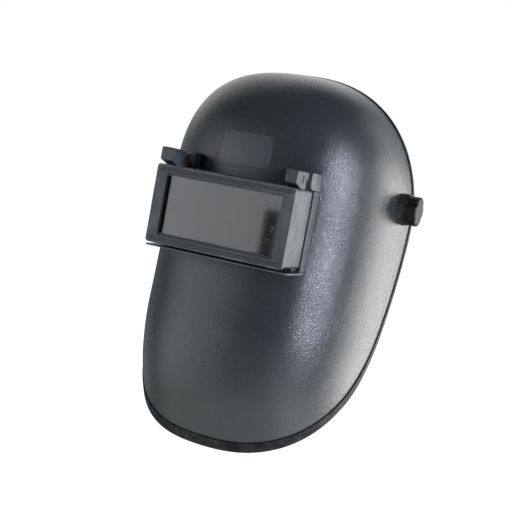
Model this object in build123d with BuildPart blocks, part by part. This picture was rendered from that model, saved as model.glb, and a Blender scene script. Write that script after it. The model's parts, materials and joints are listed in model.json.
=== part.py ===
from build123d import *
from math import acos, asin, copysign, cos, degrees, hypot, pi, radians, sin, tan
import os

# Welding helmet with a lift-up window box and a ratchet headgear.
# Millimetres. +X is the wearer's left, -Y the front, +Z up.
# The origin is the middle of the pivot line on which the helmet tilts.

os.makedirs("parts", exist_ok=True)

# ---------------------------------------------------------------- driving dimensions
# helmet shell
HALF_WIDTH = 108.0
WALL = 2.4
SECTION_SHAPE = 2.45  # exponent of the rounded cross-section
FAN_Y = 59.0  # the sections fan out from a line this far behind the pivots
UPPER_FAN_Z = -32.0
LOWER_FAN_Z = -118.0
CROWN_REACH = 131.5
BROW_REACH = 163.0
JAW_REACH = 171.0
CHIN_REACH = 160.0
CROWN_SHAPE = 3.9
CHIN_SHAPE = 2.4
RIM = [
    (-2, 125), (8, 78), (20, 30), (24, -12), (14, -70), (-8, -128), (-46, -184), (-112, -232), (-146, -252),
]
TRIM_WIDTHS = [2.5, 2.5, 2.5, 2.5, 2.5, 3.2, 6.5, 8.5, 8.5]
TRIM_PROUD = 0.9
TRIM_CAP = 1.2
PAD_SIZE, PAD_PROUD, PAD_CORNER = (44.0, 27.0), 0.35, 7.0
PAD_CENTRE = (-3.0, 24.0)

# window
LENS_W, LENS_H, FILTER_T, COVER_T, CLEAR_T, GASKET_T = 110.0, 55.0, 3.0, 1.5, 2.0, 1.5
WINDOW_W, WINDOW_H = 99.0, 46.0
BOX_W, BOX_H = 118.0, 62.0
BOX_Z = -30.0
BOX_FRONT, BEZEL_BACK, CHEEK_REAR, FLANGE_FRONT = -135.0, -131.5, -100.0, -99.0
BLOCK_FRONT, BLOCK_W, WALL_REAR = -108.0, 113.0, -108.6
BOX_WALL = 2.0
HINGE_Y, HINGE_Z = -103.0, 8.0
HUB_R, EAR_R, PIN_R = 6.0, 6.4, 2.0
HUB_X, HUB_W, EAR_W, EAR_GAP = 51.0, 9.2, 4.0, 0.4
INNER_EAR_X = HUB_X - HUB_W / 2 - EAR_GAP - EAR_W
PIN_END_X = HUB_X + HUB_W / 2 + EAR_GAP + EAR_W - 1
PLINTH_TOP, PLINTH_BACK = BOX_Z + BOX_H / 2 + 1, -78.0
SPRING_END_Y = -100.6
COLLAR_W, COLLAR_H, COLLAR_STANDS_IN = LENS_W + 4, LENS_H + 4, 6.0
POCKET_PLAY = 0.8
LIP_T = 1.5
ARM_L = 11.5
RIB_DEPTH = 8.0
CLAMP_T = 3.0
LEVER_X, LEVER_W, LEVER_TOP, LEVER_BACK, LEVER_SCREW_Y = 53.2, 9.4, 14.4, -111.6, -118.0
POCKET_BACK = -123.0
SHELF_Z, SHELF_T, SHELF_FRONT, SHELF_W = -64.2, 1.2, -131.0, 124.0

# pivots, distances from the middle of the helmet
BOLT_R = 3.0
BOLT_HEAD_X, HANGER_X, STOP_X, SPACER_X = 87.5, 90.5, 93.8, 96.6
BOSS_ROOT_X, BOSS_IN_X, BOSS_OUT_X, WASHER_X, KNOB_X, KNOB_END_X = 98.5, 100.5, 105.5, 105.6, 107.2, 118.8
BOSS_R, SEAT_R = 13.4, 11.5
NECK = 6.2
LUG_R, LUG_REACH, LUG_L = 2.5, 20.0, 3.5
KNOB_R, GRIP_R, LOBES, GROOVE_R, GROOVE_REACH = 13.5, 12.6, 6, 3.4, 14.6
RAISE_ANGLE = 70.0

# headgear
BAND_HALF_W, BAND_T, BAND_H = 79.0, 1.6, 24.0
BAND_TILT = 15.0
BAND_Z = 7.0
FRONT_CENTRE, FRONT_DEPTH = -25.0, 55.0
REAR_CENTRE, REAR_DEPTH, BACK_HALF_W, TAIL_START = 50.0, 70.0, 58.0, 48.0
STRAP_W, STRAP_T, STRAP_TOP = 16.0, 1.4, 85.0
RIVETS, STUD_Z, PEG_PITCH = [(-23.0, 8.0), (23.0, 1.0)], 2.0, 14.0
STUD_R, STUD_HEAD_R, STUD_HOLE_R = 2.0, 3.6, 2.05
# radius, start and length of the shank, the outer head and the inner head, from the middle outwards
RIVET_STEPS = [(STUD_R, 76.2, 7.4), (STUD_HEAD_R, 82.2, 1.5), (STUD_HEAD_R, 76.1, 1.2)]
STUD_STEPS = [(STUD_R, 76.2, 5.4), (STUD_HEAD_R, 80.7, 1.5), (STUD_HEAD_R, 76.1, 1.2)]
SWEATBAND_T, SWEATBAND_H = 6.0, 28.0
NAPE_PAD_SIZE, NAPE_PAD_T = (64.0, 26.0), 8.0
RACK_H, RACK_T = 18.6, 1.4
TOOTH_MODULE, TEETH, PRESSURE_ANGLE = 1.25, 8, 20.0
HOUSING_W, HOUSING_H = 74.0, 32.0
CLICK_RING_R, CLICKS = 15.8, 24
DIAL_R, DIAL_T, DIAL_GROOVES = 20.0, 12.4, 18

FREE_GAP = 0.1  # gap between faces that only meet

# ---------------------------------------------------------------- planes
def window_plane(y):
    """Upright plane at depth y, centred on the window."""
    return Plane(origin=(0, y, BOX_Z), x_dir=(1, 0, 0), z_dir=(0, -1, 0))


band_plane = Plane(
    origin=(0, 0, BAND_Z), x_dir=(1, 0, 0), z_dir=(0, sin(radians(BAND_TILT)), cos(radians(BAND_TILT)))
)
BACK = REAR_CENTRE + REAR_DEPTH  # back of the band, measured along its own plane


def nape_plane(depth):
    """Plane of the ratchet, a depth behind the back of the band; its x runs to the wearer's right."""
    back = Vector(0, cos(radians(BAND_TILT)), -sin(radians(BAND_TILT)))
    return Plane(origin=Vector(0, 0, BAND_Z) + back * (BACK + depth), x_dir=(-1, 0, 0), z_dir=back)


# ---------------------------------------------------------------- shell surface
def reach(angle, fan_z):
    """Middle-plane distance from the fan line to the surface; 0 is straight up, 90 forwards."""
    up = abs(cos(radians(angle)))
    front = abs(sin(radians(angle)))
    if angle < 90:
        return ((up / CROWN_REACH) ** CROWN_SHAPE + (front / BROW_REACH) ** CROWN_SHAPE) ** (-1 / CROWN_SHAPE)
    if angle > 90:
        return ((up / CHIN_REACH) ** CHIN_SHAPE + (front / JAW_REACH) ** CHIN_SHAPE) ** (-1 / CHIN_SHAPE)
    return BROW_REACH + (JAW_REACH - BROW_REACH) * (UPPER_FAN_Z - fan_z) / (UPPER_FAN_Z - LOWER_FAN_Z)


def section_row(angle, fan_z, inset):
    """One rounded section from the wearer's right to the left, inset from the outside."""
    row = []
    for step in range(-9, 10):
        turn = radians(step * 88 / 9)
        across = (HALF_WIDTH - inset) * copysign(abs(sin(turn)) ** (2 / SECTION_SHAPE), step)
        out = (reach(angle, fan_z) - inset) * cos(turn) ** (2 / SECTION_SHAPE)
        row.append(Vector(across, FAN_Y - out * sin(radians(angle)), fan_z + out * cos(radians(angle))))
    return row


def shell_surface(inset):
    """Smooth face over the crown, the brow, the jaw and the chin."""
    rows = [section_row(angle, UPPER_FAN_Z, inset) for angle in range(-10, 90, 10)]
    for step in range(4):
        rows.append(section_row(90, UPPER_FAN_Z + (LOWER_FAN_Z - UPPER_FAN_Z) * step / 3, inset))
    rows += [section_row(angle, LOWER_FAN_Z, inset) for angle in range(100, 150, 10)]
    return Face.make_surface_from_array_of_points(rows)


def layer(inset, depth):
    """Solid skin that starts an inset inside the outer surface and is depth thick."""
    return thicken(to_thicken=shell_surface(inset), amount=-depth, mode=Mode.PRIVATE)


def shifted(points, widths):
    """The rim's points, each moved forwards across the rim by its width."""
    moved = []
    for index, (y, z) in enumerate(points):
        y0, z0 = points[max(index - 1, 0)]
        y1, z1 = points[min(index + 1, len(points) - 1)]
        length = hypot(y1 - y0, z1 - z0)
        moved.append((y + widths[index] * (z1 - z0) / length, z - widths[index] * (y1 - y0) / length))
    return moved


def behind(points):
    """Everything behind a rim line, as a wide block."""
    with BuildPart() as block:
        with BuildSketch(Plane.YZ):
            with BuildLine():
                line = Spline(*points)
                Polyline(line @ 1, (200, -300), (200, points[0][1]), line @ 0)
            make_face()
        extrude(amount=HALF_WIDTH + 10, both=True)
    return block.part


bare_shell = layer(0, WALL) - behind(RIM)
pad_skin = layer(-PAD_PROUD, 2 * PAD_PROUD)

# ---------------------------------------------------------------- helmet shell
# smooth raised pad above the window
with BuildPart() as blank_pad:
    with BuildSketch(Plane.XZ):
        with Locations(PAD_CENTRE):
            RectangleRounded(*PAD_SIZE, PAD_CORNER)
    extrude(amount=JAW_REACH)
    add(pad_skin, mode=Mode.INTERSECT)

with BuildPart() as helmet_shell:
    add(bare_shell)
    add(blank_pad.part)
    for side in (1, -1):
        with BuildSketch(Plane.YZ.offset(side * BOSS_ROOT_X)):
            Circle(BOSS_R)
        extrude(amount=side * (BOSS_OUT_X - BOSS_ROOT_X))
        with BuildSketch(Plane.YZ.offset(side * BOSS_IN_X)):
            Circle(SEAT_R)
        extrude(amount=-side * 10, mode=Mode.SUBTRACT)
        with BuildSketch(Plane.YZ.offset(side * BOSS_OUT_X)):
            Circle(BOSS_R)
        extrude(amount=side * 10, mode=Mode.SUBTRACT)
        with BuildSketch(Plane.YZ.offset(side * (STOP_X + FREE_GAP))):
            with Locations((-LUG_REACH, 0)):
                Circle(LUG_R)
        extrude(amount=side * LUG_L)
        with BuildSketch(Plane.YZ.offset(side * (BOSS_IN_X - 5))):
            Circle(BOLT_R + 0.3)
        extrude(amount=side * 15, mode=Mode.SUBTRACT)
    with BuildSketch(window_plane(-60)):
        RectangleRounded(LENS_W + 5, LENS_H + 5, 3)
    extrude(amount=80, mode=Mode.SUBTRACT)
helmet_shell.part.label = "helmet_shell"
export_step(helmet_shell.part, "parts/helmet_shell.step")

# ---------------------------------------------------------------- rim trim
trim_zone = behind(shifted(RIM, TRIM_WIDTHS))
behind_trim = behind(shifted(RIM, [-TRIM_CAP] * len(RIM)))
trim_skin = layer(-TRIM_PROUD, WALL + 2 * TRIM_PROUD)
with BuildPart() as rim_trim:
    add(trim_skin)
    add(trim_zone, mode=Mode.INTERSECT)
    add(behind_trim, mode=Mode.SUBTRACT)
    add(bare_shell, mode=Mode.SUBTRACT)
rim_trim.part.label = "rim_trim"
export_step(rim_trim.part, "parts/rim_trim.step")

# ---------------------------------------------------------------- window: fixed base frame
EAR_CENTRES = [
    side * (HUB_X + place * (HUB_W / 2 + EAR_GAP + EAR_W / 2)) for side in (1, -1) for place in (1, -1)
]

outside_shell = layer(-FREE_GAP, 30)
behind_collar = layer(WALL + COLLAR_STANDS_IN, 25)
hook_skin = layer(WALL + CLAMP_T + 0.3, 1.6)
clamp_skin = layer(WALL + FREE_GAP, CLAMP_T)

# snap hooks on the collar, just behind the clamp frame
with BuildPart() as hooks:
    with BuildSketch(window_plane(-70)):
        with GridLocations(COLLAR_W, 24, 2, 2):
            Rectangle(2.4, 8)
        with GridLocations(60, COLLAR_H, 2, 2):
            Rectangle(8, 2.4)
    extrude(amount=50)
    add(hook_skin, mode=Mode.INTERSECT)

with BuildPart() as base_frame:
    # block that the lift-up frame closes on, and a wider flange behind its cheeks
    for width, front in ((BLOCK_W, BLOCK_FRONT), (BOX_W + 2, FLANGE_FRONT)):
        with BuildSketch(window_plane(front)):
            with Locations((0, (PLINTH_TOP + SHELF_Z) / 2 - BOX_Z)):
                RectangleRounded(width, PLINTH_TOP - SHELF_Z, 3)
        extrude(amount=PLINTH_BACK - front, dir=(0, 1, 0))
    # ears on each side of both hinge hubs
    for ear_x in EAR_CENTRES:
        with BuildSketch(Plane.YZ.offset(ear_x)):
            with Locations((HINGE_Y, HINGE_Z)):
                Circle(EAR_R)
            with Locations((HINGE_Y, HINGE_Z + EAR_R / 2)):
                RectangleRounded(2 * EAR_R, EAR_R, 2)
            with Locations((HINGE_Y, HINGE_Z - EAR_R)):
                Rectangle(PLINTH_BACK - HINGE_Y, 2 * EAR_R, align=(Align.MIN, Align.MIN))
        extrude(amount=EAR_W / 2, both=True)
    add(outside_shell, mode=Mode.SUBTRACT)
    # collar that passes through the shell and holds the clear glass
    with BuildSketch(window_plane(BLOCK_FRONT)):
        RectangleRounded(COLLAR_W, COLLAR_H, 2.5)
    extrude(amount=PLINTH_BACK - BLOCK_FRONT, dir=(0, 1, 0))
    add(behind_collar, mode=Mode.SUBTRACT)
    add(hooks.part)
    with BuildSketch(window_plane(BLOCK_FRONT + LIP_T)):
        RectangleRounded(LENS_W + POCKET_PLAY, LENS_H + POCKET_PLAY, 1)
    extrude(amount=-40, mode=Mode.SUBTRACT)
    # ledges that keep the ends of the glass springs
    with BuildSketch(window_plane(SPRING_END_Y + 0.6)):
        with GridLocations(LENS_W + 1.6, 44, 2, 2):
            Rectangle(1.5, 8)
    extrude(amount=-1.2)
    # light-seal rib around the opening, and the opening itself
    with BuildSketch(window_plane(BLOCK_FRONT)):
        RectangleRounded(LENS_W + 2, WINDOW_H + 6, 2)
    extrude(amount=RIB_DEPTH)
    with BuildSketch(window_plane(BLOCK_FRONT + 5)):
        RectangleRounded(WINDOW_W + 4, WINDOW_H + 3, 1.5)
    extrude(amount=20, mode=Mode.SUBTRACT)
    # thin shelf under the window box
    with BuildSketch(Plane.XY.offset(SHELF_Z)):
        with Locations((0, SHELF_FRONT)):
            Rectangle(SHELF_W, BLOCK_FRONT - SHELF_FRONT + 0.8, align=(Align.CENTER, Align.MIN))
        for side in (1, -1):
            with Locations((side * (SHELF_W / 2 - 6), SHELF_FRONT)):
                Rectangle(12, FLANGE_FRONT - SHELF_FRONT + 1, align=(Align.CENTER, Align.MIN))
    extrude(amount=SHELF_T)
    fillet(base_frame.edges().filter_by(Axis.Z).group_by(Axis.Y)[0], 5)
    # bore for the hinge pins, blind in the outer ears
    with BuildSketch(Plane.YZ.offset(-PIN_END_X)):
        with Locations((HINGE_Y, HINGE_Z)):
            Circle(PIN_R)
    extrude(amount=2 * PIN_END_X, mode=Mode.SUBTRACT)
base_frame.part.label = "base_frame"
export_step(base_frame.part, "parts/base_frame.step")

# ---------------------------------------------------------------- window: clamp frame inside the shell
with BuildPart() as clamp_frame:
    with BuildSketch(window_plane(-60)):
        RectangleRounded(LENS_W + 20, LENS_H + 20, 8)
        RectangleRounded(COLLAR_W + 0.8, COLLAR_H + 0.8, 2.5, mode=Mode.SUBTRACT)
    extrude(amount=60)
    add(clamp_skin, mode=Mode.INTERSECT)
clamp_frame.part.label = "clamp_frame"
export_step(clamp_frame.part, "parts/clamp_frame.step")

# ---------------------------------------------------------------- window: clear glass and its springs
CLEAR_FRONT = BLOCK_FRONT + LIP_T + FREE_GAP
with BuildPart() as clear_glass:
    with BuildSketch(window_plane(CLEAR_FRONT)):
        RectangleRounded(LENS_W, LENS_H, 1)
    extrude(amount=-CLEAR_T)
clear_glass.part.label = "clear_glass"
export_step(clear_glass.part, "parts/clear_glass.step")

with BuildPart() as glass_springs:
    for rise in (-22, 22):
        with BuildSketch(Plane.XY.offset(BOX_Z + rise - 3)):
            with BuildLine():
                bow = ThreePointArc(
                    (-55.2, SPRING_END_Y - 0.5), (0, CLEAR_FRONT + CLEAR_T + 0.1), (55.2, SPRING_END_Y - 0.5)
                )
                back = ThreePointArc(
                    (-55.2, SPRING_END_Y), (0, CLEAR_FRONT + CLEAR_T + 0.6), (55.2, SPRING_END_Y)
                )
                Line(bow @ 0, back @ 0)
                Line(bow @ 1, back @ 1)
            make_face()
        extrude(amount=6)
glass_springs.part.label = "glass_springs"
export_step(glass_springs.part, "parts/glass_springs.step")

# ---------------------------------------------------------------- window: hinge pins and washers
with BuildPart() as hinge_pins:
    for side in (1, -1):
        with BuildSketch(Plane.YZ.offset(side * INNER_EAR_X)):
            with Locations((HINGE_Y, HINGE_Z)):
                Circle(PIN_R - 0.02)
        extrude(amount=side * (PIN_END_X - FREE_GAP - INNER_EAR_X))
        with BuildSketch(Plane.YZ.offset(side * (INNER_EAR_X - FREE_GAP))):
            with Locations((HINGE_Y, HINGE_Z)):
                Circle(PIN_R + 1.2)
        extrude(amount=-side * 1.2, taper=20)
        with BuildSketch(Plane.YZ.offset(side * (INNER_EAR_X - FREE_GAP))):
            with Locations((HINGE_Y, HINGE_Z)):
                Circle(PIN_R - 0.02)
        extrude(amount=side * FREE_GAP)
hinge_pins.part.label = "hinge_pins"
export_step(hinge_pins.part, "parts/hinge_pins.step")

with BuildPart() as hinge_washers:
    for side in (1, -1):
        for place in (1, -1):
            with BuildSketch(Plane.YZ.offset(side * (HUB_X + place * (HUB_W + EAR_GAP) / 2))):
                with Locations((HINGE_Y, HINGE_Z)):
                    Circle(HUB_R - 1)
                    Circle(PIN_R + 0.1, mode=Mode.SUBTRACT)
            extrude(amount=EAR_GAP / 2 - 0.05, both=True)
hinge_washers.part.label = "hinge_washers"
export_step(hinge_washers.part, "parts/hinge_washers.step")

# ---------------------------------------------------------------- window: lift-up frame
TUBE_H = BOX_H - 1
with BuildPart() as lift_frame:
    with BuildSketch(window_plane(BEZEL_BACK)):
        RectangleRounded(BOX_W, BOX_H, 2.5)
    extrude(amount=BEZEL_BACK - BOX_FRONT)
    # shallow grooves along the top and the bottom of the bezel
    for depth, rise in ((0.5, 28.6), (0.7, 26.6)):
        with BuildSketch(window_plane(BOX_FRONT + depth)):
            with GridLocations(0, 2 * rise, 1, 2):
                Rectangle(BOX_W - 5, 0.9)
        extrude(amount=1, mode=Mode.SUBTRACT)
    # walls, 1 mm higher than the bezel's lower lip
    with BuildSketch(window_plane(BEZEL_BACK)):
        with Locations((0, 0.5)):
            RectangleRounded(BOX_W, TUBE_H, 2.5)
    extrude(amount=CHEEK_REAR - BEZEL_BACK, dir=(0, 1, 0))
    with BuildSketch(window_plane(CHEEK_REAR)):
        with Locations((0, 0.5)):
            RectangleRounded(BOX_W - 2 * BOX_WALL, TUBE_H - 2 * BOX_WALL, 1.5)
    extrude(amount=CHEEK_REAR - POCKET_BACK, mode=Mode.SUBTRACT)
    # only the cheeks reach past the block
    with BuildSketch(window_plane(CHEEK_REAR)):
        Rectangle(BOX_W - 2 * BOX_WALL, BOX_H + 10)
    extrude(amount=CHEEK_REAR - WALL_REAR, mode=Mode.SUBTRACT)
    # pocket for the cover glass, the filter and their gasket
    with BuildSketch(window_plane(POCKET_BACK)):
        RectangleRounded(LENS_W + POCKET_PLAY, LENS_H + POCKET_PLAY, 1)
    extrude(amount=POCKET_BACK - BEZEL_BACK, mode=Mode.SUBTRACT)
    # window, stepped at its top and bottom
    with BuildSketch(window_plane(BEZEL_BACK)):
        RectangleRounded(WINDOW_W, WINDOW_H, 1.5)
    extrude(amount=5, mode=Mode.SUBTRACT)
    with BuildSketch(window_plane(BOX_FRONT + 1.6)):
        RectangleRounded(WINDOW_W, WINDOW_H + 3, 1)
    extrude(amount=5, mode=Mode.SUBTRACT)
    # nibs that the retainer snaps behind
    with BuildSketch(window_plane(POCKET_BACK + 2.5)):
        with GridLocations(BOX_W - 2 * BOX_WALL - 0.5, 30, 2, 2):
            Rectangle(1, 8)
    extrude(amount=-1)
    # hinge hubs with their necks, bores and the lever screw holes
    for side in (1, -1):
        with BuildSketch(Plane.YZ.offset(side * HUB_X)):
            with Locations((HINGE_Y, HINGE_Z)):
                Circle(HUB_R)
                Rectangle(ARM_L, HINGE_Z - PLINTH_TOP - 0.6, align=(Align.MAX, Align.MAX))
            with Locations((HINGE_Y - ARM_L, HINGE_Z)):
                Rectangle(ARM_L + WALL_REAR - HINGE_Y, 7.5, align=(Align.MIN, Align.MAX))
        extrude(amount=HUB_W / 2, both=True)
        with BuildSketch(Plane.XY):
            with Locations((side * LEVER_X, LEVER_SCREW_Y)):
                Circle(1.6)
        extrude(amount=3, both=True, mode=Mode.SUBTRACT)
    with BuildSketch(Plane.YZ.offset(-BOX_W)):
        with Locations((HINGE_Y, HINGE_Z)):
            Circle(PIN_R + 0.05)
    extrude(amount=2 * BOX_W, mode=Mode.SUBTRACT)
lift_frame.part.label = "lift_frame"
export_step(lift_frame.part, "parts/lift_frame.step")

# ---------------------------------------------------------------- window: glass stack of the lift-up frame
COVER_FRONT = BEZEL_BACK + FREE_GAP
FILTER_FRONT = COVER_FRONT + COVER_T + FREE_GAP
GASKET_FRONT = FILTER_FRONT + FILTER_T + FREE_GAP
RETAINER_FRONT = GASKET_FRONT + GASKET_T + FREE_GAP

with BuildPart() as cover_glass:
    with BuildSketch(window_plane(COVER_FRONT)):
        RectangleRounded(LENS_W, LENS_H, 1)
    extrude(amount=-COVER_T)
cover_glass.part.label = "cover_glass"
export_step(cover_glass.part, "parts/cover_glass.step")

with BuildPart() as filter_glass:
    with BuildSketch(window_plane(FILTER_FRONT)):
        RectangleRounded(LENS_W, LENS_H, 1)
    extrude(amount=-FILTER_T)
filter_glass.part.label = "filter_glass"
export_step(filter_glass.part, "parts/filter_glass.step")

with BuildPart() as filter_gasket:
    with BuildSketch(window_plane(GASKET_FRONT)):
        RectangleRounded(LENS_W, LENS_H, 1)
        RectangleRounded(WINDOW_W + 2, WINDOW_H + 1, 2, mode=Mode.SUBTRACT)
    extrude(amount=-GASKET_T)
filter_gasket.part.label = "filter_gasket"
export_step(filter_gasket.part, "parts/filter_gasket.step")

with BuildPart() as filter_retainer:
    with BuildSketch(window_plane(RETAINER_FRONT)):
        RectangleRounded(LENS_W, LENS_H, 1)
    extrude(amount=POCKET_BACK + FREE_GAP - RETAINER_FRONT, dir=(0, 1, 0))
    with BuildSketch(window_plane(POCKET_BACK + FREE_GAP)):
        RectangleRounded(BOX_W - 2 * BOX_WALL - 0.6, LENS_H + 0.6, 1)
    extrude(amount=-2.2)
    with BuildSketch(window_plane(POCKET_BACK + 5)):
        RectangleRounded(WINDOW_W + 2, WINDOW_H + 1, 2)
    extrude(amount=15, mode=Mode.SUBTRACT)
filter_retainer.part.label = "filter_retainer"
export_step(filter_retainer.part, "parts/filter_retainer.step")

# ---------------------------------------------------------------- window: lift levers and their screws
LEVER_FOOT_Z = BOX_Z + BOX_H / 2 + 0.05
for name, side in (("left", 1), ("right", -1)):
    with BuildPart() as lift_lever:
        with BuildSketch(Plane.YZ.offset(side * LEVER_X)):
            Polygon(
                (LEVER_BACK, HINGE_Z + 0.1),
                (HINGE_Y - ARM_L - 0.1, HINGE_Z + 0.1),
                (HINGE_Y - ARM_L - 0.1, LEVER_FOOT_Z),
                (-124, LEVER_FOOT_Z),
                (BOX_FRONT, LEVER_FOOT_Z + 3.6),
                (BOX_FRONT, LEVER_TOP - 1),
                (BOX_FRONT + 1, LEVER_TOP),
                (LEVER_BACK - 1.5, LEVER_TOP),
                (LEVER_BACK, LEVER_TOP - 1.5),
                align=None,
            )
        extrude(amount=LEVER_W / 2, both=True)
        fillet(lift_lever.edges().filter_by(Axis.Y).sort_by(Axis.Z)[-2:], 1.2)
        # grip grooves on top and a slot on the outer side
        with BuildSketch(Plane.YZ.offset(side * LEVER_X)):
            for groove in range(4):
                with Locations((BOX_FRONT + 3 + 2.4 * groove, LEVER_TOP + 0.3)):
                    Circle(0.8)
        extrude(amount=LEVER_W / 2, both=True, mode=Mode.SUBTRACT)
        with BuildSketch(Plane.YZ.offset(side * (LEVER_X + LEVER_W / 2))):
            with Locations((LEVER_SCREW_Y - 4, LEVER_TOP - 6)):
                SlotOverall(6.5, 1.6, rotation=80)
        extrude(amount=-side * 1.2, mode=Mode.SUBTRACT)
        with BuildSketch(Plane.XY.offset(LEVER_FOOT_Z)):
            with Locations((side * LEVER_X, LEVER_SCREW_Y)):
                Circle(1.5)
        extrude(amount=7.5, mode=Mode.SUBTRACT)
    lift_lever.part.label = f"lift_lever_{name}"
    export_step(lift_lever.part, f"parts/lift_lever_{name}.step")

LEVER_SCREW_Z = BOX_Z + 0.5 + TUBE_H / 2 - BOX_WALL - FREE_GAP
with BuildPart() as lever_screws:
    for side in (1, -1):
        with BuildSketch(Plane.XY.offset(LEVER_SCREW_Z)):
            with Locations((side * LEVER_X, LEVER_SCREW_Y)):
                Circle(1.4)
        extrude(amount=9)
        with BuildSketch(Plane.XY.offset(LEVER_SCREW_Z)):
            with Locations((side * LEVER_X, LEVER_SCREW_Y)):
                Circle(2.8)
        extrude(amount=-1.6, taper=15)
        with BuildSketch(Plane.XY.offset(LEVER_SCREW_Z - 1.6)):
            with Locations((side * LEVER_X, LEVER_SCREW_Y)):
                Rectangle(3.4, 0.6)
                Rectangle(0.6, 3.4)
        extrude(amount=0.8, mode=Mode.SUBTRACT)
lever_screws.part.label = "lever_screws"
export_step(lever_screws.part, "parts/lever_screws.step")

# ---------------------------------------------------------------- pivots: a left set, mirrored to the right
with BuildPart() as friction_washer:
    with BuildSketch(Plane.YZ.offset(WASHER_X)):
        Circle(KNOB_R)
        Circle(BOLT_R + 0.2, mode=Mode.SUBTRACT)
    extrude(amount=KNOB_X - WASHER_X - FREE_GAP)

with BuildPart() as spacer_washer:
    with BuildSketch(Plane.YZ.offset(SPACER_X)):
        Circle(SEAT_R - 0.5)
        Circle(BOLT_R + 0.2, mode=Mode.SUBTRACT)
    extrude(amount=BOSS_IN_X - SPACER_X - FREE_GAP)

# range plate: two horns stop the shell's lug when the helmet is down and when it is up
HORN_W, HORN_END = 5.0, 21.8
HORN_LEAD = degrees(asin((LUG_R + HORN_W / 2 + 0.3) / LUG_REACH))
with BuildPart() as angle_stop:
    with BuildSketch(Plane.YZ.offset(STOP_X)):
        Circle(12)
        for direction in (180 + HORN_LEAD, 180 - RAISE_ANGLE - HORN_LEAD):
            with PolarLocations(HORN_END / 2 + 4, 1, start_angle=direction):
                Rectangle(HORN_END - 8, HORN_W)
        Rectangle(NECK + 0.2, NECK + 0.2, mode=Mode.SUBTRACT)
    extrude(amount=SPACER_X - STOP_X - FREE_GAP)

with BuildPart() as pivot_bolt:
    with BuildSketch(Plane.YZ.offset(HANGER_X - FREE_GAP)):
        Circle(7)
    extrude(amount=BOLT_HEAD_X - HANGER_X, taper=25)
    with BuildSketch(Plane.YZ.offset(HANGER_X - FREE_GAP)):
        Rectangle(NECK, NECK)
    extrude(amount=SPACER_X - HANGER_X)
    with BuildSketch(Plane.YZ.offset(HANGER_X - FREE_GAP)):
        Circle(BOLT_R)
    extrude(amount=116 - HANGER_X)

with BuildPart() as knob_insert:
    with BuildSketch(Plane.YZ.offset(KNOB_X + 0.8)):
        RegularPolygon(5.5, 6)
        Circle(BOLT_R + 0.05, mode=Mode.SUBTRACT)
    extrude(amount=8.6)

with BuildPart() as tension_knob:
    with BuildSketch(Plane.YZ.offset(KNOB_X)):
        Circle(KNOB_R)
    extrude(amount=2)
    with BuildSketch(Plane.YZ.offset(KNOB_X)):
        Circle(GRIP_R)
        with PolarLocations(GROOVE_REACH, LOBES, start_angle=30):
            Circle(GROOVE_R, mode=Mode.SUBTRACT)
    extrude(amount=KNOB_END_X - KNOB_X)
    fillet(tension_knob.faces().sort_by(Axis.X)[-1].edges(), 2.2)
    with BuildSketch(Plane.YZ.offset(KNOB_X)):
        RegularPolygon(5.6, 6)
    extrude(amount=9.6, mode=Mode.SUBTRACT)

# hanger: a bracket from the band out to the pivot, its feet flat on the band
FOOT_X, FOOT_T = BAND_HALF_W + FREE_GAP, 3.0
HANGER_T = STOP_X - HANGER_X - FREE_GAP
with BuildPart() as hanger:
    with BuildSketch(Plane.XY.offset(-10)):
        with BuildLine():
            half = Polyline(
                (HANGER_X + HANGER_T, 0),
                (HANGER_X + HANGER_T, 13),
                (FOOT_X + FOOT_T, 17.5),
                (FOOT_X + FOOT_T, 28),
                (FOOT_X, 28),
                (FOOT_X, 15),
                (HANGER_X, 10.5),
                (HANGER_X, 0),
            )
            mirror(half, about=Plane.XZ)
        make_face()
    extrude(amount=24)
    fillet(hanger.edges().filter_by(Axis.X), 4)
    with BuildSketch(Plane.YZ.offset(HANGER_X - 1)):
        Rectangle(NECK + 0.2, NECK + 0.2)
    extrude(amount=6, mode=Mode.SUBTRACT)
    with BuildSketch(Plane.YZ.offset(FOOT_X - 1)):
        with Locations(*RIVETS):
            Circle(STUD_HOLE_R)
    extrude(amount=6, mode=Mode.SUBTRACT)

PIVOT_PIECES = {
    "friction_washer": friction_washer,
    "spacer_washer": spacer_washer,
    "angle_stop": angle_stop,
    "pivot_bolt": pivot_bolt,
    "knob_insert": knob_insert,
    "tension_knob": tension_knob,
    "hanger": hanger,
}
for name, piece in PIVOT_PIECES.items():
    piece.part.label = f"{name}_left"
    export_step(piece.part, f"parts/{name}_left.step")
    with BuildPart() as mirrored:
        mirror(piece.part, about=Plane.YZ)
    mirrored.part.label = f"{name}_right"
    export_step(mirrored.part, f"parts/{name}_right.step")

# ---------------------------------------------------------------- headgear: band
def band_outline(inset):
    """Plan of the head loop, inset from its outside: rounded front, straight sides, flat back."""
    with BuildSketch() as plan:
        with BuildLine():
            front = EllipticalCenterArc(
                (0, FRONT_CENTRE), BAND_HALF_W - inset, FRONT_DEPTH - inset, start_angle=180, arc_size=180
            )
            corner = BAND_HALF_W - BACK_HALF_W - inset
            left = EllipticalCenterArc((BACK_HALF_W, REAR_CENTRE), corner, REAR_DEPTH - inset, arc_size=90)
            right = EllipticalCenterArc(
                (-BACK_HALF_W, REAR_CENTRE), corner, REAR_DEPTH - inset, start_angle=90, arc_size=90
            )
            Line(front @ 1, left @ 0)
            Line(left @ 1, right @ 0)
            Line(right @ 1, front @ 0)
        make_face()
    return plan.sketch


def band_ring(outer, inner):
    """Plan between two insets, on the band's own tilted plane."""
    return band_plane.location * (band_outline(outer) - band_outline(inner))


headband_plan = band_ring(0, BAND_T)
sweatband_plan = band_ring(BAND_T + 0.3, BAND_T + 0.3 + SWEATBAND_T)

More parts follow.
